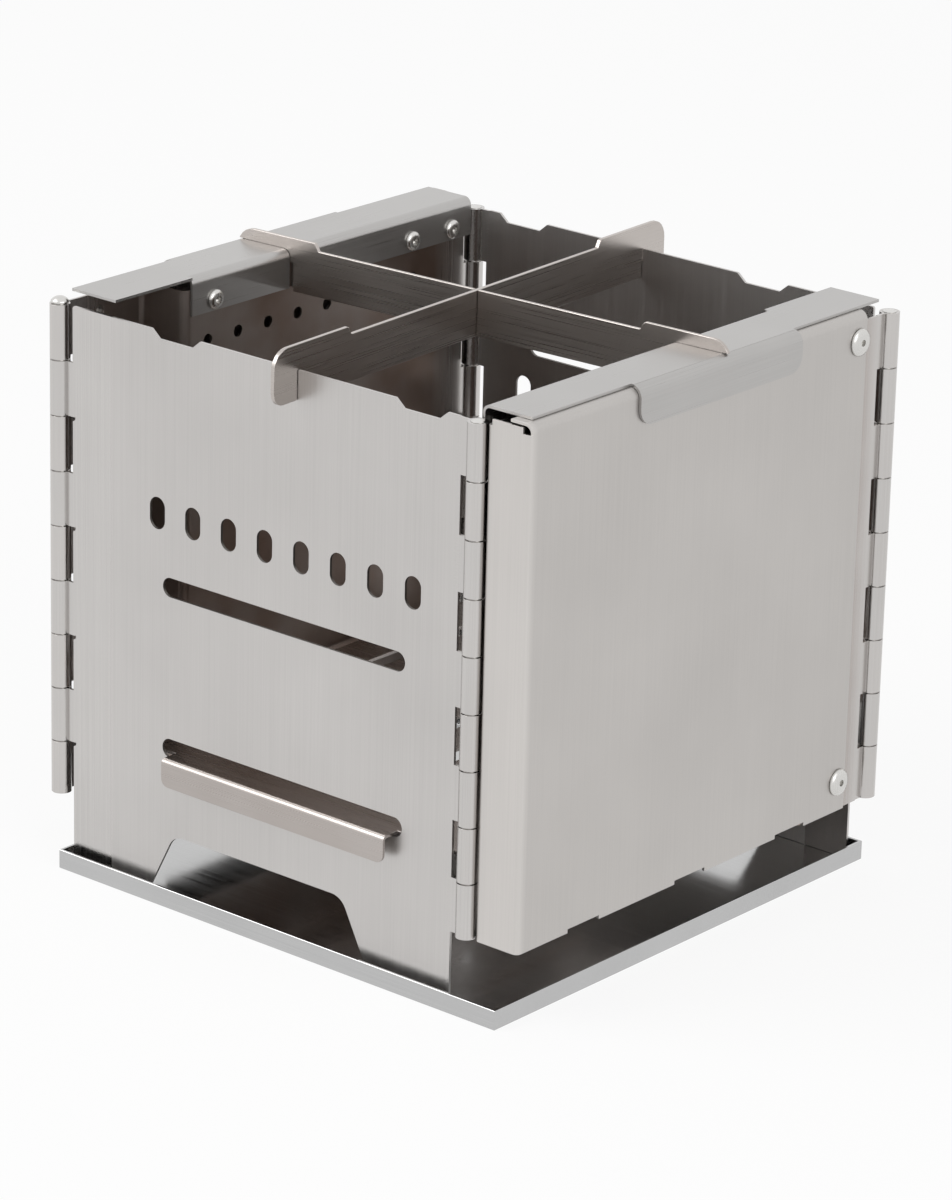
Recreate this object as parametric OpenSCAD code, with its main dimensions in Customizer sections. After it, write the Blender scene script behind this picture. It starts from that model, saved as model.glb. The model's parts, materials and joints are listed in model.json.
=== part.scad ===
// Folding camping wood stove: four hinged sheet metal walls standing in a tray,
// with a lift-out grate and two half-lapped bars that carry a pot.
// Origin: middle of the tray's underside. +Z up, the front wall faces -Y.

/* [Walls] */
// Hinge axis to hinge axis along the front and back walls
wall_pitch = 188; // [150:1:220]
// Hinge axis to hinge axis from front to back
side_pitch = 194; // [160:1:230]
// Depth of the hollow side walls, from liner to outer leaf
side_depth = 21; // [18:0.5:26]
// Thickness of the wall sheet
sheet_t = 1; // [0.8:0.1:1.2]
// Gap between sheets that lie on each other
lap_gap = 0.1; // [0.05:0.05:0.2]
// Height of the hinge barrels above the tray's underside
barrel_z = 27; // [22:0.5:34]

/* [Hinges] */
// Height of one knuckle
knuckle_h = 20; // [18:0.5:22]
// Gap between two knuckles
knuckle_gap = 0.5; // [0.3:0.1:0.8]
// Outer radius of the rolled barrels
barrel_r = 3.6; // [3.2:0.1:4]
// Radius of the hinge pins
pin_r = 2.5; // [2:0.1:2.7]
// Radial clearance of a pin in its barrel
pin_fit = 0.05; // [0.02:0.01:0.1]
// Hinge axis to the straight edge of a sheet
leaf_edge = 6.5; // [6:0.1:7.5]
// Radius of the relief holes beside the knuckles
relief_r = 1.2; // [0.8:0.1:1.4]
// Height of the domed head on the loose pin
pin_head_h = 2.2; // [1:0.1:3]

/* [Front and back wall] */
// Width of a notch in the top edge
notch_w = 20; // [14:1:26]
// Depth of a notch in the top edge
notch_d = 3; // [2:0.5:5]
// Middle of one notch to the middle of the other
notch_pitch = 109.5; // [90:0.5:115]
// Number of air holes in a row
hole_count = 8; // [4:1:9]
// Middle to middle of the air holes
hole_pitch = 16.5; // [12:0.5:18]
// Width of an air hole
hole_w = 7; // [5:0.5:9]
// Height of an air hole
hole_h = 11.5; // [10:0.5:16]
// Height of the row of air holes above the barrels' lower end
hole_z = 115; // [108:1:122]
// Length of the long slots
slot_l = 110; // [90:1:120]
// Height of the long slots
slot_h = 7; // [6:0.5:8]
// Height of the upper slot above the barrels' lower end
upper_slot_z = 89.5; // [75:0.5:95]
// Height of the grate's slot above the barrels' lower end
grate_slot_z = 30.5; // [24:0.5:45]
// Height of the extra slot in the back wall
rear_slot_z = 133; // [130:0.5:150]
// Width of the air inlet at its foot
inlet_foot_w = 104; // [80:1:120]
// Width of the air inlet at its top
inlet_top_w = 78; // [60:1:78]
// Height of the air inlet's top under the barrels' lower end
inlet_drop = 1.5; // [1:0.5:4]
// Rounding of the air inlet's upper corners
inlet_r = 7; // [3:0.5:9]

/* [Side walls] */
// Hinge axis to the step of the liner
liner_step = 40; // [34:1:46]
// Hinge axis to the free edge of the outer shell
shell_edge = 15; // [12:0.5:18]
// Width of the shell's lower notches
foot_notch_w = 16.5; // [10:0.5:22]
// Height of the shell's lower notches
foot_notch_h = 1.4; // [1:0.1:2.5]
// Radius of the rolled top edge
roll_r = 3.5; // [2.5:0.5:4.5]
// Width of the shell's top flange past the roll
shell_flange = 6; // [4:0.5:8]
// Diameter of the liner's air holes
liner_hole_d = 4.4; // [3:0.2:6]
// Middle to middle of the liner's air holes
liner_hole_pitch = 15.5; // [12:0.5:20]
// Number of air holes in the liner
liner_hole_count = 8; // [4:1:8]
// Height of the liner's holes above the barrels' lower end
liner_hole_z = 160; // [145:1:163]

/* [Top caps] */
// Height of the cap's underside above the barrels
cap_rise = 3.5; // [2.5:0.5:5]
// Depth of the cap's inner tab
tab_h = 11; // [9:0.5:14]
// Depth of the cap's outer hook below its top
hook_h = 13; // [9:0.5:18]
// Hinge axis at the flange end to the hook's near end
hook_start = 54; // [45:1:60]
// Length of the hook along the wall
hook_l = 87; // [70:1:95]
// Rounding of the hook's lower corners
hook_r = 6; // [3:0.5:8]

/* [Rivets] */
// Radius of the large blind rivet heads
rivet_head_r = 5; // [4:0.1:5.5]
// Radius of the small cap rivet heads
cap_rivet_head_r = 3.6; // [3:0.1:4]
// Radius of every rivet shank
rivet_r = 1.9; // [1.5:0.1:2.2]
// Radial clearance of a rivet in its hole
rivet_fit = 0.05; // [0.02:0.01:0.1]

/* [Pot cross] */
// Turn of the cross against the walls, in degrees
cross_turn = 3; // [0:0.5:4]
// Thickness of the bars
bar_t = 1.5; // [1:0.1:2]
// Lower edge of the bars under the walls' top
bar_drop = 10.5; // [9:0.5:14]
// Top of the bars' middle over the walls' top
bar_rise = 6; // [5:0.5:9]
// Extra height of the raised ends
ear_rise = 2.8; // [2:0.2:4]
// Middle of the cross to the start of a raised end
ear_start = 71; // [55:1:76]
// Middle of the cross to the outer end of the upper bar
upper_bar_reach = 110; // [106:0.5:114]
// Middle of the cross to the outer end of the lower bar
lower_bar_reach = 106; // [105:0.5:107]
// Side clearance of a bar in its slots
bar_fit = 0.25; // [0.15:0.05:0.4]

/* [Grate] */
// Thickness of the grate
grate_t = 1.2; // [1:0.1:1.5]
// Gap from the grate to the walls
grate_gap = 1.5; // [1:0.1:3]
// Width of the tongue that rests in the slot
tongue_w = 102; // [80:1:106]
// How far the tongue stands out in front
tongue_out = 5; // [3:0.5:8]
// Height of the tongue's bent lip
lip_h = 8; // [5:0.5:10]
// Number of slots in the grate
grate_slots = 7; // [4:1:9]
// Width of a slot in the grate
grate_slot_w = 7; // [5:0.5:9]

/* [Tray] */
// Outer width of the tray
tray_w = 202; // [200:1:230]
// Outer depth of the tray
tray_d = 204; // [200:1:240]
// Height of the tray's rim
tray_h = 7; // [5:0.5:12]
// Thickness of the tray
tray_t = 1; // [0.8:0.1:1.5]
// Height of the walls' feet over the tray's floor
foot_gap = 0.2; // [0.1:0.05:0.3]

/* [Hidden] */
$fn = 48;
arc_steps = 6;

knuckle_count = 9;
wall_h = knuckle_count * knuckle_h;
top_z = barrel_z + wall_h;
half_w = (wall_pitch + side_depth) / 2;
liner_x = (wall_pitch - side_depth) / 2;
half_d = side_pitch / 2;
leg = barrel_z - tray_t - foot_gap;
bore_r = pin_r + pin_fit;
chamber_mid = half_w;
bar_slot_x = chamber_mid + half_d * tan(cross_turn);
bar_seat = 5;
bar_slot_w = bar_t / cos(cross_turn) + sheet_t * tan(cross_turn) + 2 * bar_fit;
shell_x = half_w + sheet_t + lap_gap;
hook_x = shell_x + sheet_t + lap_gap;
tab_x = liner_x - sheet_t - lap_gap;
cap_z = top_z + cap_rise;
cap_end = 4;
slit_end = half_w - 1;
rivet_from_c = shell_edge + rivet_head_r - 1;
rivet_heights = [11, wall_h - 7];
cap_rivet_ys = [-half_d + 14.7, -half_d + 36.7, half_d - liner_step - 13.7];
cap_rivet_z = top_z - 5.5;
grate_z = barrel_z + grate_slot_z - slot_h / 2 + lap_gap;
bend_r = 2;
hole_r_rivet = rivet_r + rivet_fit;

// Direction of a vector
function unit(v) = v / norm(v);

// Arc that rounds the corner b between a and c; the corner's third number is its radius
function corner_points(a, b, c) =
    b[2] <= 0 ? [[b[0], b[1]]] :
    let (
        here = [b[0], b[1]],
        u = unit([a[0], a[1]] - here),
        v = unit([c[0], c[1]] - here),
        half = acos(u * v) / 2,
        centre = here + unit(u + v) * b[2] / sin(half),
        first = here + u * b[2] / tan(half) - centre,
        last = here + v * b[2] / tan(half) - centre,
        start = atan2(first[1], first[0]),
        turn = atan2(first[0] * last[1] - first[1] * last[0], first * last)
    )
    [for (i = [0:arc_steps]) centre + b[2] * [cos(start + turn * i / arc_steps), sin(start + turn * i / arc_steps)]];

// Outline through corners that are each [x, y, radius]
function rounded(corners) =
    let (n = len(corners))
    [for (i = [0:n - 1]) each corner_points(corners[(i + n - 1) % n], corners[i], corners[(i + 1) % n])];

// Upright or level hole with round ends
module stadium(length, width) {
    square([length - width, width], center = true);
    for (side = [-1, 1])
        translate([side * (length - width) / 2, 0]) circle(d = width);
}

// Stands a drawing of x and z up as a sheet, with its middle on y = 0
module upright(thickness) {
    translate([0, thickness / 2, 0]) rotate([90, 0, 0]) linear_extrude(thickness) children();
}

// Runs a drawing of x and z along y
module along_y(from, to) {
    translate([0, to, 0]) rotate([90, 0, 0]) linear_extrude(to - from) children();
}

// Half a turn about the stove's middle
module opposite() {
    rotate([0, 0, 180]) children();
}

// Rolled knuckles of one sheet on one hinge axis, with their straps towards +X
module knuckles(first) {
    for (i = [first:2:knuckle_count - 1])
        translate([0, 0, i * knuckle_h + knuckle_gap / 2]) {
            cylinder(r = barrel_r, h = knuckle_h - knuckle_gap);
            translate([0, -sheet_t / 2, 0]) cube([leaf_edge + sheet_t, sheet_t, knuckle_h - knuckle_gap]);
        }
}

// Bore of a hinge
module hinge_bore() {
    translate([0, 0, -1]) cylinder(r = bore_r, h = wall_h + 2);
}

// One notch in the top edge, sloping at its sides
module top_notch(middle) {
    slope = notch_d * 0.8;
    polygon([
        [middle - notch_w / 2 - slope / 2, wall_h + 1],
        [middle - notch_w / 2 - slope / 2, wall_h],
        [middle - notch_w / 2 + slope, wall_h - notch_d],
        [middle + notch_w / 2 - slope, wall_h - notch_d],
        [middle + notch_w / 2 + slope / 2, wall_h],
        [middle + notch_w / 2 + slope / 2, wall_h + 1]]);
}

// Front and back wall, drawn from hinge axis to hinge axis
module wall_drawing(extra_slot) {
    foot_mid = wall_pitch / 2;
    difference() {
        polygon(rounded([
            [leaf_edge, -leg, 0], [leaf_edge, wall_h, 0.8],
            [wall_pitch - leaf_edge, wall_h, 1.5], [wall_pitch - leaf_edge, -leg, 0]]));
        for (side = [-1, 1]) top_notch(bar_slot_x + side * notch_pitch / 2);
        translate([bar_slot_x - bar_slot_w / 2, wall_h - bar_seat]) square([bar_slot_w, bar_seat + 1]);
        for (i = [0:hole_count - 1])
            translate([chamber_mid + (i - (hole_count - 1) / 2) * hole_pitch, hole_z])
                rotate(90) stadium(hole_h, hole_w);
        translate([chamber_mid, upper_slot_z]) stadium(slot_l, slot_h);
        translate([chamber_mid, grate_slot_z]) stadium(slot_l, slot_h);
        if (extra_slot) translate([chamber_mid, rear_slot_z]) stadium(slot_l, slot_h);
        polygon(rounded([
            [foot_mid - inlet_foot_w / 2, -leg - 1, 0], [foot_mid - inlet_top_w / 2, -inlet_drop, inlet_r],
            [foot_mid + inlet_top_w / 2, -inlet_drop, inlet_r], [foot_mid + inlet_foot_w / 2, -leg - 1, 0]]));
        for (i = [1:2:7])
            translate([leaf_edge, i * knuckle_h]) circle(r = relief_r);
    }
}

// A whole end wall in the front wall's place
module end_wall(extra_slot) {
    translate([-half_w, -half_d, barrel_z])
        difference() {
            union() {
                upright(sheet_t) wall_drawing(extra_slot);
                knuckles(1);
                translate([wall_pitch, 0, 0]) rotate([0, 0, 180]) knuckles(0);
            }
            hinge_bore();
            translate([wall_pitch, 0, 0]) hinge_bore();
        }
}

// Inner sheet of the right wall: along the fire, out at the step, on to the rear hinge
module liner() {
    t = sheet_t / 2;
    step_y = half_d - liner_step;
    front_y = -half_d + leaf_edge;
    rear_y = half_d - leaf_edge;
    difference() {
        union() {
            translate([0, 0, barrel_z])
                linear_extrude(wall_h - 0.3)
                    polygon(rounded([
                        [liner_x - t, front_y, 0], [liner_x + t, front_y, 0],
                        [liner_x + t, step_y - t, bend_r], [half_w + t, step_y - t, bend_r + sheet_t],
                        [half_w + t, rear_y, 0], [half_w - t, rear_y, 0],
                        [half_w - t, step_y + t, bend_r], [liner_x - t, step_y + t, bend_r + sheet_t]]));
            translate([liner_x, -half_d, barrel_z]) rotate([0, 0, 90]) knuckles(1);
            translate([half_w, half_d, barrel_z]) rotate([0, 0, -90]) knuckles(0);
        }
        translate([liner_x, -half_d, barrel_z]) hinge_bore();
        translate([half_w, half_d, barrel_z]) hinge_bore();
        for (i = [0:liner_hole_count - 1])
            translate([liner_x - 5, step_y - 11 - i * liner_hole_pitch, barrel_z + liner_hole_z])
                rotate([0, 90, 0]) cylinder(d = liner_hole_d, h = 10);
        shell_rivet_holes();
        cap_rivet_holes();
    }
}

// Holes for the rivets through shell and leaf
module shell_rivet_holes() {
    for (h = rivet_heights)
        translate([half_w - 5, half_d - rivet_from_c, barrel_z + h])
            rotate([0, 90, 0]) cylinder(r = hole_r_rivet, h = 12);
}

// Holes for the rivets through cap tab and liner
module cap_rivet_holes() {
    for (y = cap_rivet_ys)
        translate([tab_x - 4, y, cap_rivet_z])
            rotate([0, 90, 0]) cylinder(r = hole_r_rivet, h = 8);
}

// Outer sheet of the right wall with its front flange and rolled top
module shell() {
    t = sheet_t / 2;
    flange_x = liner_x + barrel_r + 0.7;
    rear_y = half_d - shell_edge;
    roll_z = cap_z - lap_gap - roll_r;
    lip_y = -half_d + 14;
    difference() {
        union() {
            translate([0, 0, barrel_z])
                linear_extrude(roll_z - barrel_z)
                    polygon(rounded([
                        [flange_x, -half_d - t, 1.5], [shell_x + t, -half_d - t, 2],
                        [shell_x + t, rear_y, 0], [shell_x - t, rear_y, 0],
                        [shell_x - t, -half_d + t, 1], [flange_x + sheet_t, -half_d + t, 0.5],
                        [flange_x + sheet_t, lip_y, 0], [flange_x, lip_y, 0]]));
            translate([flange_x + 2, -half_d - t, roll_z - 1])
                cube([shell_x - flange_x - 5, sheet_t, roll_r - 0.5]);
            along_y(-half_d - t + 1, rear_y) {
                translate([shell_x + t - roll_r, roll_z])
                    difference() {
                        intersection() {
                            circle(r = roll_r);
                            square(roll_r);
                        }
                        circle(r = roll_r - sheet_t);
                    }
                translate([shell_x + t - roll_r - shell_flange, roll_z + roll_r - sheet_t])
                    square([shell_flange, sheet_t]);
            }
        }
        for (share = [0.175, 0.47, 0.76])
            translate([shell_x - 3, -half_d + share * side_pitch - foot_notch_w / 2, barrel_z - 1])
                cube([6, foot_notch_w, foot_notch_h + 1]);
        shell_rivet_holes();
        cross_passage();
    }
}

// Room in cap and shell for the end of the lower bar
module cross_passage() {
    rotate([0, 0, cross_turn])
        translate([liner_x - 8, -bar_t / 2 - bar_fit, top_z - bar_drop - 2])
            cube([slit_end - liner_x + 8, bar_t + 2 * bar_fit, bar_drop + cap_rise + 5]);
}

// Cap over the right wall: inner tab, top plate and outer hook
module cap() {
    front_y = -half_d + cap_end;
    rear_y = half_d - cap_end;
    tab_end = half_d - liner_step - 2;
    plate_edge = shell_x + sheet_t / 2 - roll_r;
    hook_y0 = -half_d + hook_start;
    inner = tab_x - sheet_t / 2;
    outer = hook_x + sheet_t / 2;
    bend = bend_r + sheet_t;
    difference() {
        union() {
            translate([inner + bend, front_y, cap_z]) cube([plate_edge - inner - bend, rear_y - front_y, sheet_t]);
            translate([inner, tab_end, cap_z]) cube([bend, rear_y - tab_end, sheet_t]);
            along_y(front_y, tab_end) {
                translate([inner + bend, cap_z + sheet_t - bend])
                    difference() {
                        intersection() {
                            circle(r = bend);
                            translate([-bend, 0]) square(bend);
                        }
                        circle(r = bend_r);
                    }
                translate([inner, cap_z + sheet_t - bend - tab_h]) square([sheet_t, tab_h]);
            }
            along_y(hook_y0, hook_y0 + hook_l) {
                translate([plate_edge - 1, cap_z]) square([outer - roll_r - plate_edge + 1, sheet_t]);
                translate([outer - roll_r - sheet_t, cap_z + sheet_t - roll_r - sheet_t])
                    difference() {
                        intersection() {
                            circle(r = roll_r + sheet_t);
                            square(roll_r + sheet_t);
                        }
                        circle(r = roll_r);
                    }
            }
            translate([hook_x, hook_y0, cap_z - roll_r])
                rotate([0, 90, 0])
                    translate([0, 0, -sheet_t / 2])
                        linear_extrude(sheet_t)
                            polygon(rounded([
                                [0, 0, 0], [hook_h - roll_r, 0, hook_r],
                                [hook_h - roll_r, hook_l, hook_r], [0, hook_l, 0]]));
        }
        cap_rivet_holes();
        cross_passage();
    }
}

// Hinge pin, plain or with a domed head
module pin(head) {
    cylinder(r = pin_r, h = wall_h);
    if (head) {
        translate([0, 0, wall_h + lap_gap])
            intersection() {
                translate([0, 0, pin_head_h - 4]) sphere(r = 4);
                cylinder(r = barrel_r - 0.4, h = pin_head_h);
            }
        cylinder(r = pin_r, h = wall_h + lap_gap + 0.5);
    }
}

// Blind rivet along +X: bulb, shank and domed head with its hole, head seated at x = 0
module blind_rivet(head_r, grip, dome) {
    rotate([0, 90, 0])
        rotate_extrude()
            polygon(concat(
                [[0.9, -grip - 2.5], [rivet_r, -grip - 2.5], [rivet_r + 0.9, -grip - 1.5],
                    [rivet_r + 0.9, -grip - lap_gap], [rivet_r, -grip - lap_gap], [rivet_r, lap_gap],
                    [head_r, lap_gap]],
                [for (i = [0:arc_steps]) [
                    head_r - (head_r - 1.7) * (1 - cos(90 * i / arc_steps)),
                    lap_gap + 0.3 + dome * sin(90 * i / arc_steps)]],
                [[1.1, dome * 0.8]], [[0.9, dome * 0.5]]));
}

// Rivets that join shell and leaf
module shell_rivets() {
    for (h = rivet_heights)
        translate([shell_x + sheet_t / 2, half_d - rivet_from_c, barrel_z + h])
            blind_rivet(rivet_head_r, 2 * sheet_t + lap_gap, 1.6);
}

// Rivets that join cap and liner, heads towards the fire
module cap_rivets() {
    for (y = cap_rivet_ys)
        translate([tab_x - sheet_t / 2, y, cap_rivet_z])
            rotate([0, 0, 180]) blind_rivet(cap_rivet_head_r, 2 * sheet_t + lap_gap, 1.2);
}

module front_wall() {
    color("#c9c7c3") end_wall(false);
}

module back_wall() {
    color("#bdb9b4") opposite() end_wall(true);
}

module right_liner() {
    color("#a9a39c") liner();
}

module left_liner() {
    color("#a9a39c") opposite() liner();
}

module right_shell() {
    color("#c4c1bd") shell();
}

module left_shell() {
    color("#c4c1bd") opposite() shell();
}

module right_top_cap() {
    color("#d3d2cf") cap();
}

module left_top_cap() {
    color("#d3d2cf") opposite() cap();
}

module loose_hinge_pin() {
    color("#dddddd") translate([-half_w, -half_d, barrel_z]) pin(true);
}

module front_right_hinge_pin() {
    color("#b5b5b5") translate([liner_x, -half_d, barrel_z]) pin(false);
}

module back_right_hinge_pin() {
    color("#b5b5b5") translate([half_w, half_d, barrel_z]) pin(false);
}

module back_left_hinge_pin() {
    color("#b5b5b5") translate([-liner_x, half_d, barrel_z]) pin(false);
}

module right_shell_rivets() {
    color("#d8d8d8") shell_rivets();
}

module left_shell_rivets() {
    color("#d8d8d8") opposite() shell_rivets();
}

module right_cap_rivets() {
    color("#cfcfcf") cap_rivets();
}

module left_cap_rivets() {
    color("#cfcfcf") opposite() cap_rivets();
}

// Slotted floor of the fire, with a bent tongue in front and a flat one behind
module fire_grate() {
    half_x = tab_x - sheet_t / 2 - grate_gap;
    half_y = half_d - sheet_t / 2 - grate_gap;
    front_y = -half_d - sheet_t / 2 - tongue_out;
    step_w = (half_d - liner_step) / 2;
    color("#8f8a84") {
        translate([0, 0, grate_z])
            linear_extrude(grate_t)
                difference() {
                    union() {
                        square([2 * half_x, 2 * half_y], center = true);
                        translate([-tongue_w / 2, front_y + bend_r]) square([tongue_w, half_d]);
                        translate([-tongue_w / 2, 0]) square([tongue_w, half_d + sheet_t / 2 + 2]);
                    }
                    for (i = [0:grate_slots - 1])
                        translate([(i - (grate_slots - 1) / 2) * 2 * half_x / (grate_slots + 1), 0])
                            rotate(90) stadium(1.5 * half_y, grate_slot_w);
                }
        translate([-tongue_w / 2, 0, 0])
            rotate([90, 0, 90])
                linear_extrude(tongue_w)
                    translate([front_y + bend_r, grate_z + grate_t - bend_r])
                        difference() {
                            intersection() {
                                circle(r = bend_r);
                                translate([-bend_r, 0]) square(bend_r);
                            }
                            circle(r = bend_r - grate_t);
                        }
        translate([0, front_y, grate_z + grate_t - bend_r])
            rotate([90, 0, 0])
                translate([0, 0, -grate_t])
                    linear_extrude(grate_t)
                        polygon(rounded([
                            [-tongue_w / 2, 0, 0], [-tongue_w / 2, -lip_h, 3],
                            [tongue_w / 2, -lip_h, 3], [tongue_w / 2, 0, 0]]));
    }
}

// Outline of a bar from one end to the other; half_lap is 1 for a gap from above, -1 from below
module bar_drawing(reach, half_lap) {
    mid_h = (bar_rise - bar_drop) / 2;
    difference() {
        polygon(rounded([
            [-reach, -bar_drop, 5], [-reach, bar_rise + ear_rise, 7],
            [-ear_start, bar_rise + ear_rise, 1.2], [-ear_start + 1.5, bar_rise, 0.8],
            [ear_start - 1.5, bar_rise, 0.8], [ear_start, bar_rise + ear_rise, 1.2],
            [reach, bar_rise + ear_rise, 7], [reach, -bar_drop, 5]]));
        if (half_lap > 0)
            translate([-bar_t / 2 - bar_fit, mid_h - lap_gap]) square([bar_t + 2 * bar_fit, bar_drop + bar_rise]);
        if (half_lap < 0)
            translate([-bar_t / 2 - bar_fit, mid_h + lap_gap - bar_drop - bar_rise])
                square([bar_t + 2 * bar_fit, bar_drop + bar_rise]);
    }
}

// Bar from side to side; its ends pass the caps' slits and straddle the liners
module cross_bar_lower() {
    gap_mid = liner_x - (sheet_t + lap_gap) / 2;
    gap_w = 2 * sheet_t + lap_gap + 2.6;
    notch_top = -0.3 + lap_gap + 0.1;
    color("#b7aa9c")
        translate([0, 0, top_z])
            rotate([0, 0, cross_turn])
                upright(bar_t)
                    difference() {
                        bar_drawing(lower_bar_reach, 1);
                        for (side = [-1, 1]) {
                            translate([side * gap_mid - gap_w / 2, -bar_drop - 1])
                                square([gap_w, bar_drop + 1 + notch_top]);
                            translate([side > 0 ? slit_end - 0.5 : -slit_end + 0.5 - 20, -bar_drop - 1])
                                square([20, bar_drop + 1 + cap_rise + sheet_t + lap_gap]);
                        }
                    }
}

// Bar from front to back; its ends hook over the end walls
module cross_bar_upper() {
    seat_mid = half_d / cos(cross_turn);
    seat_w = sheet_t / cos(cross_turn) + bar_t * tan(cross_turn) + 2 * bar_fit;
    color("#b7aa9c")
        translate([0, 0, top_z])
            rotate([0, 0, cross_turn + 90])
                upright(bar_t)
                    difference() {
                        bar_drawing(upper_bar_reach, -1);
                        for (side = [-1, 1])
                            translate([side * seat_mid - seat_w / 2, -bar_drop - 1])
                                square([seat_w, bar_drop + 1 - bar_seat + lap_gap]);
                    }
}

// Shallow tray under the walls
module ash_tray() {
    color("#7d7b78")
        difference() {
            translate([-tray_w / 2, -tray_d / 2, 0]) cube([tray_w, tray_d, tray_h]);
            translate([-tray_w / 2 + tray_t, -tray_d / 2 + tray_t, tray_t])
                cube([tray_w - 2 * tray_t, tray_d - 2 * tray_t, tray_h]);
        }
}

front_wall();
back_wall();
right_liner();
left_liner();
right_shell();
left_shell();
right_top_cap();
left_top_cap();
loose_hinge_pin();
front_right_hinge_pin();
back_right_hinge_pin();
back_left_hinge_pin();
right_shell_rivets();
left_shell_rivets();
right_cap_rivets();
left_cap_rivets();
fire_grate();
cross_bar_lower();
cross_bar_upper();
ash_tray();
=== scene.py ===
"""Dresses the folding camping wood stove: steel finishes, softened sheet edges, rivets, studio."""
import json
import math

import bmesh
import bpy
from mathutils import Matrix, Vector


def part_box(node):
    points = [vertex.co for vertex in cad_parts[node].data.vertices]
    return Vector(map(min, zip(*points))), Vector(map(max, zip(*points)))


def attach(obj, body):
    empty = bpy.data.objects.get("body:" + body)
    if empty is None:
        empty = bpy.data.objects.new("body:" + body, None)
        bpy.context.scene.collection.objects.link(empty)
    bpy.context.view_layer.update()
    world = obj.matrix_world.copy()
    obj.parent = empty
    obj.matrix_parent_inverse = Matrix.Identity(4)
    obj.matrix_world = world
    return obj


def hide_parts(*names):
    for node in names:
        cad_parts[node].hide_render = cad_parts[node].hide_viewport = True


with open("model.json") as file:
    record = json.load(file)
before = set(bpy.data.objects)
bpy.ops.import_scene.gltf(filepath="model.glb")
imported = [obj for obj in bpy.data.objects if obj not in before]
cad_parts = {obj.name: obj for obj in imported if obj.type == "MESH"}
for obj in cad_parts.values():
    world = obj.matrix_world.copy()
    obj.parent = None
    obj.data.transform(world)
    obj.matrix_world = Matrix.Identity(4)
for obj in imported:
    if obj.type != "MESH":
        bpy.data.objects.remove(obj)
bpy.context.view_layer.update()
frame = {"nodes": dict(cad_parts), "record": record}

bl_info = {
    "name": "Folding Wood Stove",
    "version": (1, 0, 0),
    "blender": (4, 5, 0),
    "location": "View3D > Sidebar > Stove",
    "description": "Finishes the sheets, pins, rivets, grate, cross and tray of a wood stove",
    "category": "Object",
}

MM = 0.001

# Nodes of each group of pieces
END_WALLS = ("front_wall", "back_wall")
LINERS = ("right_liner", "left_liner")
SHELLS = ("right_shell", "left_shell")
CAPS = ("right_top_cap", "left_top_cap")
PINS = ("loose_hinge_pin", "front_right_hinge_pin", "back_right_hinge_pin", "back_left_hinge_pin")
BARS = ("cross_bar_lower", "cross_bar_upper")
RIVETS = ("right_shell_rivets", "left_shell_rivets", "right_cap_rivets", "left_cap_rivets")

BODIES = frame["record"]["behaviour"]["bodies"]
BODY_OF = {node: body for body, members in BODIES.items() for node in members}

# Holes and slots of the end walls, where the part's source has them. A half size is its x, then its z.
END_WALL_Y = 97 * MM
HOLE_COUNT = 8
HOLE_PITCH = 16.5 * MM
HOLE_Z = 142 * MM
HOLE_HALF = (3.5 * MM, 5.75 * MM)
SLOT_HALF = (55 * MM, 3.5 * MM)
SLOT_Z = {"front_wall": (116.5 * MM, 57.5 * MM), "back_wall": (116.5 * MM, 57.5 * MM, 160 * MM)}
CUT_WIDER = 0.02 * MM
CUTTER_HALF = 4 * MM
HALF_ROUND_STEPS = 24

# Sheet edges: what counts as one point, a flat face, an edge to bevel and an edge to shade sharp
MERGE = 0.002 * MM
FLAT_ANGLE = math.radians(0.4)
BEVEL_ANGLE = math.radians(35)
SHARP_ANGLE = math.radians(28)

# Rivet heads: the flange under the dome, how far a head sits in, and how far a rivet's points
# may lie from its first one
FLANGE = 0.35 * MM
HEAD_INSET = 0.05 * MM
RIVET_SPREAD = 11 * MM
RIVET_SHARP_ANGLE = math.radians(40)

# Scales that draw the grain out along x, y or z, or both level ways
GRAIN_X = (14.0, 2600.0, 2600.0)
GRAIN_Y = (2600.0, 14.0, 2600.0)
GRAIN_Z = (2600.0, 2600.0, 14.0)
GRAIN_LEVEL = (14.0, 14.0, 2600.0)

# Scales of the other patterns, and how strongly each trait of the steel shows
SMUDGE_SCALE = 16.0
CLOUD_SCALE = 24.0
MARK_SCALE = 1400.0
TONE_SPREAD = 0.035
# How much lighter each shell's bend is painted: a painted highlight where light catches the curve
BEND_HIGHLIGHT = 0.16
ROUGH_SPREAD = 0.05
WORN_POLISH = 0.16
STREAK_HEIGHT = 0.35
MARK_HEIGHT = 26.0
# Brown of the heat tint; on the cross bars it is also a painted reflection of the flames
HEAT_AND_FLAME_BROWN = (0.17, 0.095, 0.06)

# Zones rubbed smooth at the knuckles, as an axis with a start and an end, then the pressed strips,
# and how far before the shell's end the painted highlight on its bend starts and is full
WALL_WORN = (0, 79 * MM, 80 * MM)
LINER_WORN = (1, 74 * MM, 90 * MM)
MARKS_START = 75.2 * MM
MARKS_END = 80.5 * MM
BEND_HIGHLIGHT_START = 4 * MM
BEND_HIGHLIGHT_FULL = 1 * MM

# The studio, in metres
LAMP_AIM = (0, 0, 0.1)
LAMP_SIZE = 1.6
KEY_PLACE = (-1.3, -1.5, 1.9)
FILL_PLACE = (1.9, -0.6, 1.2)
ROOM_LIGHT = 0.55
FLOOR_GLOW = 0.88


def colour(title, words, value):
    """A colour that a user can change."""
    return bpy.props.FloatVectorProperty(
        name=title, description=words, subtype="COLOR", size=3, min=0, max=1, default=value)


def length(title, words, value):
    """A length in metres that a user can change."""
    return bpy.props.FloatProperty(
        name=title, description=words, subtype="DISTANCE", unit="LENGTH", min=0, default=value)


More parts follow.
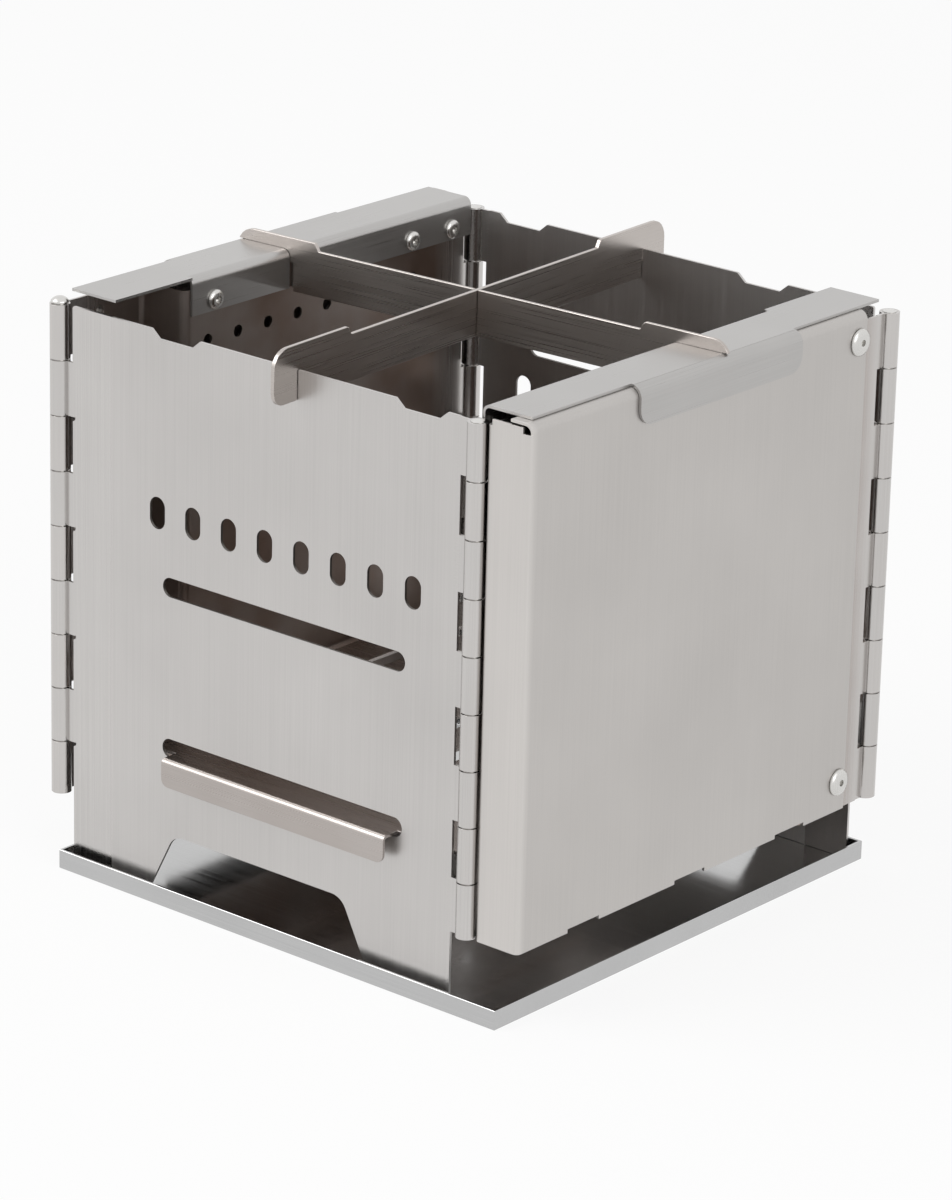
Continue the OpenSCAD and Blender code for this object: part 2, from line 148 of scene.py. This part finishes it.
def angle(title, words, value):
    """An angle in radians that a user can change."""
    return bpy.props.FloatProperty(name=title, description=words, subtype="ANGLE", default=value)


def power(title, words, value):
    """A lamp's power in watts that a user can change."""
    return bpy.props.FloatProperty(name=title, description=words, subtype="POWER", default=value)


class StoveSteel(bpy.types.PropertyGroup):
    """Colours and finish of the steel."""
    wall: colour("Walls", "Satin steel of the front and back wall", (0.555, 0.538, 0.525))
    shell: colour("Shells", "Satin steel of the side shells", (0.52, 0.50, 0.482))
    cap: colour("Caps", "Satin steel of the top caps", (0.47, 0.46, 0.45))
    liner: colour("Liners", "Steel of the liners, tinted inside", (0.56, 0.54, 0.525))
    # The cross's brown is heat tint and also a painted reflection of the flames
    bar: colour("Bars", "Heat-tinted steel of the cross", (0.58, 0.55, 0.525))
    grate: colour("Grate", "Steel of the grate", (0.50, 0.47, 0.45))
    tray: colour("Tray", "Mirror steel of the tray", (0.50, 0.50, 0.50))
    pin: colour("Pins and rivets", "Bright steel of pins and rivets", (0.66, 0.65, 0.63))
    cut: colour("Cut edges", "Dark laser-cut edges of the holes and slots", (0.16, 0.15, 0.14))
    roughness: bpy.props.FloatProperty(
        name="Roughness", description="Roughness of the satin sheets", min=0, max=1, default=0.36)
    edge: length("Edge", "Width of the softened sheet edges", 0.14 * MM)


class StoveRivet(bpy.types.PropertyGroup):
    """Sizes of the blind rivets."""
    shell_head: length("Shell head", "Radius of the large heads", 5.0 * MM)
    shell_dome: length("Shell dome", "Height of the large heads' dome", 1.6 * MM)
    cap_head: length("Cap head", "Radius of the small heads", 3.6 * MM)
    cap_dome: length("Cap dome", "Height of the small heads' dome", 1.2 * MM)
    bore: length("Bore", "Radius of the hole left by the mandrel", 1.15 * MM)
    sides: bpy.props.IntProperty(
        name="Sides", description="Faces round a rivet", min=12, max=96, default=48)


class StoveStage(bpy.types.PropertyGroup):
    """Camera, floor and lamps."""
    azimuth: angle("Azimuth", "Turn of the camera round the stove", 0.69763)
    elevation: angle("Elevation", "Height angle of the camera", 0.34542)
    roll: angle("Roll", "Tilt of the camera about its view", 0.02476)
    distance: length("Distance", "Distance of the camera from its target", 1.8626)
    aside: length("Aside", "Target to the right of the stove's middle", 0.00234)
    above: length("Above", "Target above the stove's foot", 0.09394)
    lens: bpy.props.FloatProperty(
        name="Lens", description="Focal length in millimetres", subtype="DISTANCE_CAMERA",
        default=197.48)
    floor: length("Floor", "Half width of the floor", 6.0)
    key: power("Key", "Power of the key lamp", 26)
    fill: power("Fill", "Power of the fill lamp", 12)


class Nodes:
    """Adds and links the nodes of one tree in few words."""

    def __init__(self, tree):
        self.tree = tree
        tree.nodes.clear()

    def put(self, socket, value):
        """Links a socket into an input, or sets the input's own value."""
        if isinstance(value, bpy.types.NodeSocket):
            self.tree.links.new(value, socket)
        else:
            socket.default_value = value

    def add(self, kind, settings=None, **inputs):
        """A new node. An input's name has a low line for each space."""
        node = self.tree.nodes.new(kind)
        for name, value in (settings or {}).items():
            setattr(node, name, value)
        for name, value in inputs.items():
            self.put(node.inputs[name.replace("_", " ")], value)
        return node

    def math(self, kind, *values):
        """The result of one sum of numbers or sockets."""
        node = self.add("ShaderNodeMath", {"operation": kind})
        for socket, value in zip(node.inputs, values):
            self.put(socket, value)
        return node.outputs[0]


def noise(nodes, place, scale, detail):
    """Even noise, mostly 0.3 to 0.7."""
    return nodes.add("ShaderNodeTexNoise", Vector=place, Scale=scale, Detail=detail).outputs["Fac"]


def streaks(nodes, place, grain):
    """Noise drawn out along the axis whose scale is small."""
    drawn_out = nodes.add("ShaderNodeMapping", Vector=place, Scale=grain).outputs[0]
    return noise(nodes, drawn_out, 1.0, 4.0)


def between(nodes, value, low, high):
    """Maps a noise of about 0.3 to 0.7 to a range."""
    node = nodes.add(
        "ShaderNodeMapRange", Value=value, From_Min=0.3, From_Max=0.7, To_Min=low, To_Max=high)
    return node.outputs["Result"]


def ramp(nodes, value, start, end):
    """0 up to start, rising to 1 at end and beyond."""
    node = nodes.add("ShaderNodeMapRange", Value=value, From_Min=start, From_Max=end)
    return node.outputs["Result"]


def worn_zone(nodes, place, axis, start, end):
    """0 inside start and 1 beyond end, on both sides of the stove along an axis."""
    parts = nodes.add("ShaderNodeSeparateXYZ", Vector=place).outputs
    return ramp(nodes, nodes.math("ABSOLUTE", parts[axis]), start, end)


def bend_highlight_zone(nodes, place, start, end):
    """Mask of the painted highlight on each shell's bend: 1 at the front on the right shell, at the back
    on the left one.
    """
    parts = nodes.add("ShaderNodeSeparateXYZ", Vector=place).outputs
    side = nodes.math("SIGN", parts[0])
    towards = nodes.math("MULTIPLY", nodes.math("MULTIPLY", side, parts[1]), -1.0)
    return ramp(nodes, towards, start, end)


def tool_marks(nodes, place):
    """Mask of a roughly pressed strip: on the right of the front wall, on the left of the back one."""
    parts = nodes.add("ShaderNodeSeparateXYZ", Vector=place).outputs
    along = nodes.math("MULTIPLY", nodes.math("MULTIPLY", parts[0], parts[1]), -1 / END_WALL_Y)
    after = nodes.math("GREATER_THAN", along, MARKS_START)
    before = nodes.math("LESS_THAN", along, MARKS_END)
    strip = nodes.math("MULTIPLY", after, before)
    return nodes.math("MULTIPLY", strip, noise(nodes, place, MARK_SCALE, 2.0))


def heat_and_flame_tinted(nodes, place, shade, heat_and_flame_tint, rubbed):
    """Lays a cloudy brown tint over a shade, but not where the steel is rubbed smooth. The tint is heat
    tint, and on the cross bars also a painted reflection of the flames.
    """
    cloud = noise(nodes, place, CLOUD_SCALE, 3.0)
    amount = between(nodes, cloud, heat_and_flame_tint * 0.55, heat_and_flame_tint)
    if rubbed:
        amount = nodes.math("MULTIPLY", amount, nodes.math("SUBTRACT", 1.0, rubbed))
    brown = nodes.add(
        "ShaderNodeMix", {"data_type": "RGBA"}, Factor=amount, A=shade, B=(*HEAT_AND_FLAME_BROWN, 1))
    return brown.outputs["Result"]


def steel(name, base, roughness, grain, heat_and_flame_tint=0.0, relief=0.10, worn=None, bend_highlight=None, marks=False):
    """Brushed steel: long streaks along one axis, soft smudges, and a brown heat tint, on the bars also
    a painted flame reflection.

    worn is a zone that is rubbed smooth and keeps no tint. bend_highlight is the start and end of a
    bend that is painted lighter, a painted highlight. marks adds the pressed strips of the end walls.
    """
    material = bpy.data.materials.new(name)
    material.use_nodes = True
    nodes = Nodes(material.node_tree)
    place = nodes.add("ShaderNodeTexCoord").outputs["Object"]
    fine = streaks(nodes, place, grain)
    smudge = noise(nodes, place, SMUDGE_SCALE, 3.0)
    rubbed = worn_zone(nodes, place, *worn) if worn else None

    light = between(nodes, fine, 1 - TONE_SPREAD, 1 + TONE_SPREAD)
    tone = nodes.math("ADD", light, between(nodes, smudge, -TONE_SPREAD, TONE_SPREAD))
    # Painted highlight: the shell's bend is made lighter in colour
    if bend_highlight:
        painted_highlight = nodes.math("MULTIPLY", bend_highlight_zone(nodes, place, *bend_highlight), BEND_HIGHLIGHT)
        tone = nodes.math("ADD", tone, painted_highlight)
    shade = nodes.add("ShaderNodeVectorMath", {"operation": "SCALE"}, Vector=base, Scale=tone).outputs[0]
    if heat_and_flame_tint:
        shade = heat_and_flame_tinted(nodes, place, shade, heat_and_flame_tint, rubbed)

    height = nodes.math("MULTIPLY", fine, STREAK_HEIGHT)
    if marks:
        pressed = nodes.math("MULTIPLY", tool_marks(nodes, place), MARK_HEIGHT)
        height = nodes.math("ADD", height, pressed)
    rough = between(nodes, fine, roughness - ROUGH_SPREAD, roughness + ROUGH_SPREAD)
    if rubbed:
        rough = nodes.math("SUBTRACT", rough, nodes.math("MULTIPLY", rubbed, WORN_POLISH))

    bump = nodes.add("ShaderNodeBump", Strength=relief, Distance=0.1 * MM, Height=height)
    shader = nodes.add(
        "ShaderNodeBsdfPrincipled", Metallic=1.0, Base_Color=shade, Roughness=rough,
        Normal=bump.outputs[0])
    nodes.add("ShaderNodeOutputMaterial", Surface=shader.outputs[0])
    return material


def placed(name, data):
    """A new object in the scene."""
    thing = bpy.data.objects.new(name, data)
    bpy.context.scene.collection.objects.link(thing)
    return thing


def settle(piece):
    """Turns a piece with its modifiers into a plain mesh."""
    bpy.context.view_layer.update()
    evaluated = piece.evaluated_get(bpy.context.evaluated_depsgraph_get())
    piece.data = bpy.data.meshes.new_from_object(evaluated)
    piece.modifiers.clear()


def stand_in(piece, node):
    """Lets a finished piece stand for a node, on the node's body."""
    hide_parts(node)
    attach(piece, BODY_OF[node])


def ringed(name, rings):
    """A closed mesh through rings of points, with a flat face on each end."""
    build = bmesh.new()
    loops = [[build.verts.new(point) for point in ring] for ring in rings]
    count = len(rings[0])
    for first, second in zip(loops, loops[1:]):
        for i in range(count):
            j = (i + 1) % count
            build.faces.new((first[i], first[j], second[j], second[i]))
    build.faces.new(list(reversed(loops[0])))
    build.faces.new(loops[-1])
    bmesh.ops.recalc_face_normals(build, faces=build.faces)
    mesh = bpy.data.meshes.new(name)
    build.to_mesh(mesh)
    build.free()
    return mesh


def seat_tree():
    """Geometry Nodes tree that sets one copy of a piece on each seat."""
    tree = bpy.data.node_groups.new("seats", "GeometryNodeTree")
    face = tree.interface
    face.new_socket("Geometry", in_out="INPUT", socket_type="NodeSocketGeometry")
    face.new_socket("Piece", in_out="INPUT", socket_type="NodeSocketObject")
    face.new_socket("Turn", in_out="INPUT", socket_type="NodeSocketFloat")
    face.new_socket("Finish", in_out="INPUT", socket_type="NodeSocketMaterial")
    face.new_socket("Geometry", in_out="OUTPUT", socket_type="NodeSocketGeometry")
    nodes = Nodes(tree)
    given = nodes.add("NodeGroupInput").outputs
    piece = nodes.add("GeometryNodeObjectInfo", Object=given["Piece"]).outputs["Geometry"]
    turn = nodes.add("ShaderNodeCombineXYZ", Z=given["Turn"]).outputs[0]
    seated = nodes.add(
        "GeometryNodeInstanceOnPoints", Points=given["Geometry"], Instance=piece, Rotation=turn)
    real = nodes.add("GeometryNodeRealizeInstances", Geometry=seated.outputs[0])
    finished = nodes.add(
        "GeometryNodeSetMaterial", Geometry=real.outputs[0], Material=given["Finish"])
    nodes.add("NodeGroupOutput", Geometry=finished.outputs[0])
    return tree


def grown(name, seats, shape, turn, finish):
    """An object with one copy of a shape on each seat, as one mesh."""
    points = bpy.data.meshes.new(name + "_seats")
    points.from_pydata(seats, [], [])
    piece = placed(name, points)
    master = placed(name + "_master", shape)
    tree = bpy.data.node_groups.get("seats") or seat_tree()
    socket_of = {s.name: s.identifier for s in tree.interface.items_tree if s.in_out == "INPUT"}
    grow = piece.modifiers.new("Seats", "NODES")
    grow.node_group = tree
    grow[socket_of["Piece"]] = master
    grow[socket_of["Turn"]] = turn
    grow[socket_of["Finish"]] = finish
    settle(piece)
    bpy.data.objects.remove(master)
    return piece


def stadium(name, half_x, half_z):
    """A prism along Y with half-round ends on its longer side, as a cutter."""
    radius = min(half_x, half_z)
    reach_x = half_x - radius
    reach_z = half_z - radius
    first = 0.0 if reach_z > reach_x else math.pi / 2
    outline = []
    for start in (first, first + math.pi):
        middle_x = reach_x * math.cos(start + math.pi / 2)
        middle_z = reach_z * math.sin(start + math.pi / 2)
        for i in range(HALF_ROUND_STEPS + 1):
            turn = start + math.pi * i / HALF_ROUND_STEPS
            outline.append((middle_x + radius * math.cos(turn), middle_z + radius * math.sin(turn)))
    return ringed(name, [[(x, y, z) for x, z in outline] for y in (-CUTTER_HALF, CUTTER_HALF)])


def cut_round(piece, node, finish):
    """Cuts an end wall's holes and slots a hair wider, with truly round ends and dark edges."""
    wall_y = -END_WALL_Y if node == "front_wall" else END_WALL_Y
    middle = (HOLE_COUNT - 1) / 2
    holes = [((i - middle) * HOLE_PITCH, wall_y, HOLE_Z) for i in range(HOLE_COUNT)]
    slots = [(0, wall_y, z) for z in SLOT_Z[node]]
    for name, seats, (half_x, half_z) in (("holes", holes, HOLE_HALF), ("slots", slots, SLOT_HALF)):
        shape = stadium(name, half_x + CUT_WIDER, half_z + CUT_WIDER)
        cutter = grown(node + "_" + name, seats, shape, 0.0, finish)
        cut = piece.modifiers.new("Cut", "BOOLEAN")
        cut.operation = "DIFFERENCE"
        cut.solver = "EXACT"
        cut.material_mode = "TRANSFER"
        cut.object = cutter
        settle(piece)
        bpy.data.objects.remove(cutter)


def soften_edges(mesh, edge):
    """Clears the triangles inside flat faces and bevels the sharp edges."""
    build = bmesh.new()
    build.from_mesh(mesh)
    bmesh.ops.dissolve_limit(
        build, angle_limit=FLAT_ANGLE, use_dissolve_boundaries=False,
        verts=build.verts, edges=build.edges)
    sharp = [e for e in build.edges if len(e.link_faces) == 2 and e.calc_face_angle() > BEVEL_ANGLE]
    if edge > 0:
        bmesh.ops.bevel(
            build, geom=sharp, offset=edge, offset_type="OFFSET", segments=1, profile=0.5,
            affect="EDGES", clamp_overlap=True)
    for face in build.faces:
        face.smooth = True
    bmesh.ops.triangulate(build, faces=[f for f in build.faces if len(f.verts) > 4])
    build.to_mesh(mesh)
    build.free()
    mesh.set_sharp_from_angle(angle=SHARP_ANGLE)


def softened(node, finish, edge, cut_finish=None):
    """Copies a sheet with softened edges, and lets the copy stand for the node.

    cut_finish is the finish of an end wall's holes and slots, which are then cut again.
    """
    mesh = frame["nodes"][node].data.copy()
    mesh.materials.clear()
    mesh.materials.append(finish)
    build = bmesh.new()
    build.from_mesh(mesh)
    bmesh.ops.remove_doubles(build, verts=build.verts, dist=MERGE)
    build.to_mesh(mesh)
    build.free()
    piece = placed(node + "_finished", mesh)
    if cut_finish:
        cut_round(piece, node, cut_finish)
    soften_edges(piece.data, edge)
    level = piece.modifiers.new("Flat Sheets", "WEIGHTED_NORMAL")
    level.keep_sharp = True
    level.weight = 100
    settle(piece)
    stand_in(piece, node)


def revolved(name, outline, sides):
    """A closed shape turned about +X from an outline of (x, radius)."""
    turns = [2 * math.pi * i / sides for i in range(sides)]
    mesh = ringed(name, [[(x, r * math.cos(t), r * math.sin(t)) for t in turns] for x, r in outline])
    mesh.shade_smooth()
    mesh.set_sharp_from_angle(angle=RIVET_SHARP_ANGLE)
    return mesh


def rivet_outline(head, bore, dome):
    """Domed flange with a rolled rim, and the hollow that the mandrel leaves."""
    under = 0.1 * MM
    rim = [(under, head * 0.4), (under, head - under), (0.25 * MM, head)]
    inward = head - bore - 0.6 * MM
    steps = 8
    turns = [math.pi / 2 * i / steps for i in range(steps + 1)]
    arc = [(FLANGE + dome * math.sin(t), head - inward * (1 - math.cos(t))) for t in turns]
    hollow = [(0.3 * MM + dome * 0.9, bore), (0.45 * MM, bore * 0.92)]
    return rim + arc + hollow


def rivet_middles(node):
    """Middles, in y and z, of a node's separate rivets, from points rounded to a millimetre."""
    mesh = frame["nodes"][node].data
    spots = sorted({(round(v.co.y, 3), round(v.co.z, 3)) for v in mesh.vertices})
    groups = []
    for y, z in spots:
        near = (g for g in groups if max(abs(g[0][0] - y), abs(g[0][1] - z)) < RIVET_SPREAD)
        group = next(near, None)
        if group is None:
            group = []
            groups.append(group)
        group.append((y, z))
    middles = []
    for group in groups:
        ys, zs = zip(*group)
        middles.append(((min(ys) + max(ys)) / 2, (min(zs) + max(zs)) / 2))
    return middles


def set_rivets(node, head, dome, bore, sides, finish, outward):
    """Rivet heads of one node as one mesh. outward is the way they face along X, 1 or -1."""
    low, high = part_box(node)
    top_x = high[0] if outward > 0 else low[0]
    face_x = top_x - outward * (dome + FLANGE + HEAD_INSET)
    seats = [(face_x, y, z) for y, z in rivet_middles(node)]
    shape = revolved(node + "_shape", rivet_outline(head, bore, dome), sides)
    turn = 0.0 if outward > 0 else math.pi
    stand_in(grown(node + "_seated", seats, shape, turn, finish), node)


class STOVE_OT_end_walls(bpy.types.Operator):
    """Finish the front and the back wall"""
    bl_idname = "stove.end_walls"
    bl_label = "End Walls"

    def execute(self, context):
        look = context.scene.stove_steel
        finish = steel("wall_satin", look.wall, look.roughness, GRAIN_Z, worn=WALL_WORN, marks=True)
        cut_finish = steel("wall_cut_edge", look.cut, roughness=0.5, grain=GRAIN_Z)
        for node in END_WALLS:
            softened(node, finish, look.edge, cut_finish)
        return {"FINISHED"}


class STOVE_OT_side_walls(bpy.types.Operator):
    """Finish the liners, shells and caps of the hollow side walls"""
    bl_idname = "stove.side_walls"
    bl_label = "Side Walls"

    def execute(self, context):
        look = context.scene.stove_steel
        liner = steel("liner_tinted", look.liner, look.roughness, GRAIN_Z, heat_and_flame_tint=0.85, worn=LINER_WORN)
        shell_end = max(abs(corner[1]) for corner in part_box("right_shell"))
        # Where the painted highlight on each shell's bend starts and is full
        bend_highlight = (shell_end - BEND_HIGHLIGHT_START, shell_end - BEND_HIGHLIGHT_FULL)
        shell = steel("shell_satin", look.shell, look.roughness, GRAIN_Z, bend_highlight=bend_highlight)
        cap = steel("cap_satin", look.cap, look.roughness - 0.04, GRAIN_Y)
        for group, finish in ((LINERS, liner), (SHELLS, shell), (CAPS, cap)):
            for node in group:
                softened(node, finish, look.edge)
        return {"FINISHED"}


class STOVE_OT_pins(bpy.types.Operator):
    """Finish the hinge pins"""
    bl_idname = "stove.pins"
    bl_label = "Hinge Pins"

    def execute(self, context):
        look = context.scene.stove_steel
        finish = steel("pin_bright", look.pin, roughness=0.22, grain=GRAIN_Z)
        for node in PINS:
            softened(node, finish, look.edge)
        return {"FINISHED"}


class STOVE_OT_rivets(bpy.types.Operator):
    """Set the blind rivets, which face out on the shells and in on the caps"""
    bl_idname = "stove.rivets"
    bl_label = "Rivets"

    def execute(self, context):
        size = context.scene.stove_rivet
        base = context.scene.stove_steel.pin
        finish = steel("rivet_bright", base, roughness=0.26, grain=GRAIN_Z)
        for node in RIVETS:
            side = 1 if "right" in node else -1
            if "shell" in node:
                head, dome, outward = size.shell_head, size.shell_dome, side
            else:
                head, dome, outward = size.cap_head, size.cap_dome, -side
            set_rivets(node, head, dome, size.bore, size.sides, finish, outward)
        return {"FINISHED"}


class STOVE_OT_cross(bpy.types.Operator):
    """Finish the two bars of the pot rest"""
    bl_idname = "stove.cross"
    bl_label = "Cross Bars"

    def execute(self, context):
        look = context.scene.stove_steel
        # Heat tint, and also a painted reflection of the flames on the bars
        finish = steel(
            "bar_heat_and_flame_tint", look.bar, roughness=0.30, grain=GRAIN_LEVEL, heat_and_flame_tint=0.25, relief=0.05)
        for node in BARS:
            softened(node, finish, look.edge)
        return {"FINISHED"}


class STOVE_OT_grate(bpy.types.Operator):
    """Finish the fire grate"""
    bl_idname = "stove.grate"
    bl_label = "Grate"

    def execute(self, context):
        look = context.scene.stove_steel
        finish = steel("grate_satin", look.grate, roughness=0.30, grain=GRAIN_X, heat_and_flame_tint=0.2)
        softened("fire_grate", finish, look.edge)
        return {"FINISHED"}


class STOVE_OT_tray(bpy.types.Operator):
    """Finish the ash tray"""
    bl_idname = "stove.tray"
    bl_label = "Tray"

    def execute(self, context):
        look = context.scene.stove_steel
        finish = steel("tray_mirror", look.tray, roughness=0.13, grain=GRAIN_X, relief=0.01)
        softened("ash_tray", finish, look.edge)
        return {"FINISHED"}


def seen(nodes):
    """1 for the camera, mirrors and glass, and 0 for the light that falls on the object."""
    path = nodes.add("ShaderNodeLightPath").outputs
    mirrored = nodes.math("MAXIMUM", path["Is Glossy Ray"], path["Is Transmission Ray"])
    return nodes.math("MAXIMUM", path["Is Camera Ray"], mirrored)


def white_world(world):
    """White where it is seen, a softer white as light."""
    world.use_nodes = True
    nodes = Nodes(world.node_tree)
    more = nodes.math("MULTIPLY", seen(nodes), 1 - ROOM_LIGHT)
    strength = nodes.math("ADD", more, ROOM_LIGHT)
    back = nodes.add("ShaderNodeBackground", Color=(1, 1, 1, 1), Strength=strength)
    nodes.add("ShaderNodeOutputWorld", Surface=back.outputs[0])


def floor_material():
    """Pale floor that stays white where it is seen, and keeps a soft shadow."""
    material = bpy.data.materials.new("floor_white")
    material.use_nodes = True
    nodes = Nodes(material.node_tree)
    matt = nodes.add("ShaderNodeBsdfDiffuse", Color=(0.95, 0.95, 0.95, 1))
    glow = nodes.add("ShaderNodeEmission", Color=(1, 1, 1, 1), Strength=1.0)
    mix = nodes.add("ShaderNodeMixShader", Fac=nodes.math("MULTIPLY", seen(nodes), FLOOR_GLOW))
    nodes.put(mix.inputs[1], matt.outputs[0])
    nodes.put(mix.inputs[2], glow.outputs[0])
    nodes.add("ShaderNodeOutputMaterial", Surface=mix.outputs[0])
    return material


def set_floor(half):
    """A square floor under the stove, given by half its width."""
    mesh = bpy.data.meshes.new("studio_floor")
    corners = [(-half, -half, 0), (half, -half, 0), (half, half, 0), (-half, half, 0)]
    mesh.from_pydata(corners, [], [(0, 1, 2, 3)])
    mesh.materials.append(floor_material())
    floor = placed("studio_floor", mesh)


def set_lamp(name, place, watts):
    """A square soft lamp that points at the stove."""
    data = bpy.data.lights.new(name, "AREA")
    data.size = LAMP_SIZE
    data.energy = watts
    light = placed(name, data)
    light.location = place
    light.rotation_euler = (Vector(LAMP_AIM) - Vector(place)).to_track_quat("-Z", "Y").to_euler()


def set_camera(stage):
    """The photograph's view."""
    across, depth = math.sin(stage.azimuth), math.cos(stage.azimuth)
    flat = math.cos(stage.elevation)
    out = Vector((across * flat, -depth * flat, math.sin(stage.elevation)))
    right = Vector((depth, across, 0))
    up = out.cross(right)
    place = right * stage.aside + up * stage.above + out * stage.distance
    turned_right = right * math.cos(stage.roll) + up * math.sin(stage.roll)
    turned_up = up * math.cos(stage.roll) - right * math.sin(stage.roll)
    axes = Matrix((turned_right, turned_up, out)).transposed().to_4x4()
    data = bpy.data.cameras.new("camera")
    data.sensor_fit = "HORIZONTAL"
    data.sensor_width = 36.0
    data.lens = stage.lens
    data.clip_start = 0.05
    data.clip_end = 50.0
    camera = placed("camera", data)
    camera.matrix_world = Matrix.Translation(place) @ axes
    bpy.context.scene.camera = camera


class STOVE_OT_stage(bpy.types.Operator):
    """Set up the floor, lamps and camera"""
    bl_idname = "stove.stage"
    bl_label = "Stage"

    def execute(self, context):
        scene = context.scene
        stage = scene.stove_stage
        set_floor(stage.floor)
        scene.world = scene.world or bpy.data.worlds.new("studio")
        white_world(scene.world)
        set_lamp("key", KEY_PLACE, stage.key)
        set_lamp("fill", FILL_PLACE, stage.fill)
        scene.view_settings.view_transform = "Standard"
        set_camera(stage)
        return {"FINISHED"}


OPERATORS = (
    STOVE_OT_end_walls, STOVE_OT_side_walls, STOVE_OT_pins, STOVE_OT_rivets, STOVE_OT_cross,
    STOVE_OT_grate, STOVE_OT_tray, STOVE_OT_stage)

GROUPS = (("stove_steel", StoveSteel), ("stove_rivet", StoveRivet), ("stove_stage", StoveStage))


class STOVE_PT_panel(bpy.types.Panel):
    """Lists the stove's groups of pieces and their settings"""
    bl_idname = "STOVE_PT_panel"
    bl_label = "Folding Wood Stove"
    bl_space_type = "VIEW_3D"
    bl_region_type = "UI"
    bl_category = "Stove"

    def draw(self, context):
        for operator in OPERATORS:
            self.layout.operator(operator.bl_idname)
        for name, kind in GROUPS:
            box = self.layout.box()
            for setting in kind.__annotations__:
                box.prop(getattr(context.scene, name), setting)


def register():
    """Adds the settings, operators and panel."""
    for name, group in GROUPS:
        bpy.utils.register_class(group)
        setattr(bpy.types.Scene, name, bpy.props.PointerProperty(type=group))
    for operator in OPERATORS:
        bpy.utils.register_class(operator)
    bpy.utils.register_class(STOVE_PT_panel)


def unregister():
    """Takes them out again."""
    bpy.utils.unregister_class(STOVE_PT_panel)
    for operator in reversed(OPERATORS):
        bpy.utils.unregister_class(operator)
    for name, group in reversed(GROUPS):
        delattr(bpy.types.Scene, name)
        bpy.utils.unregister_class(group)


def main():
    """Makes every piece."""
    register()
    for operator in OPERATORS:
        family, action = operator.bl_idname.split(".")
        getattr(getattr(bpy.ops, family), action)()


if __name__ == "__main__":
    main()
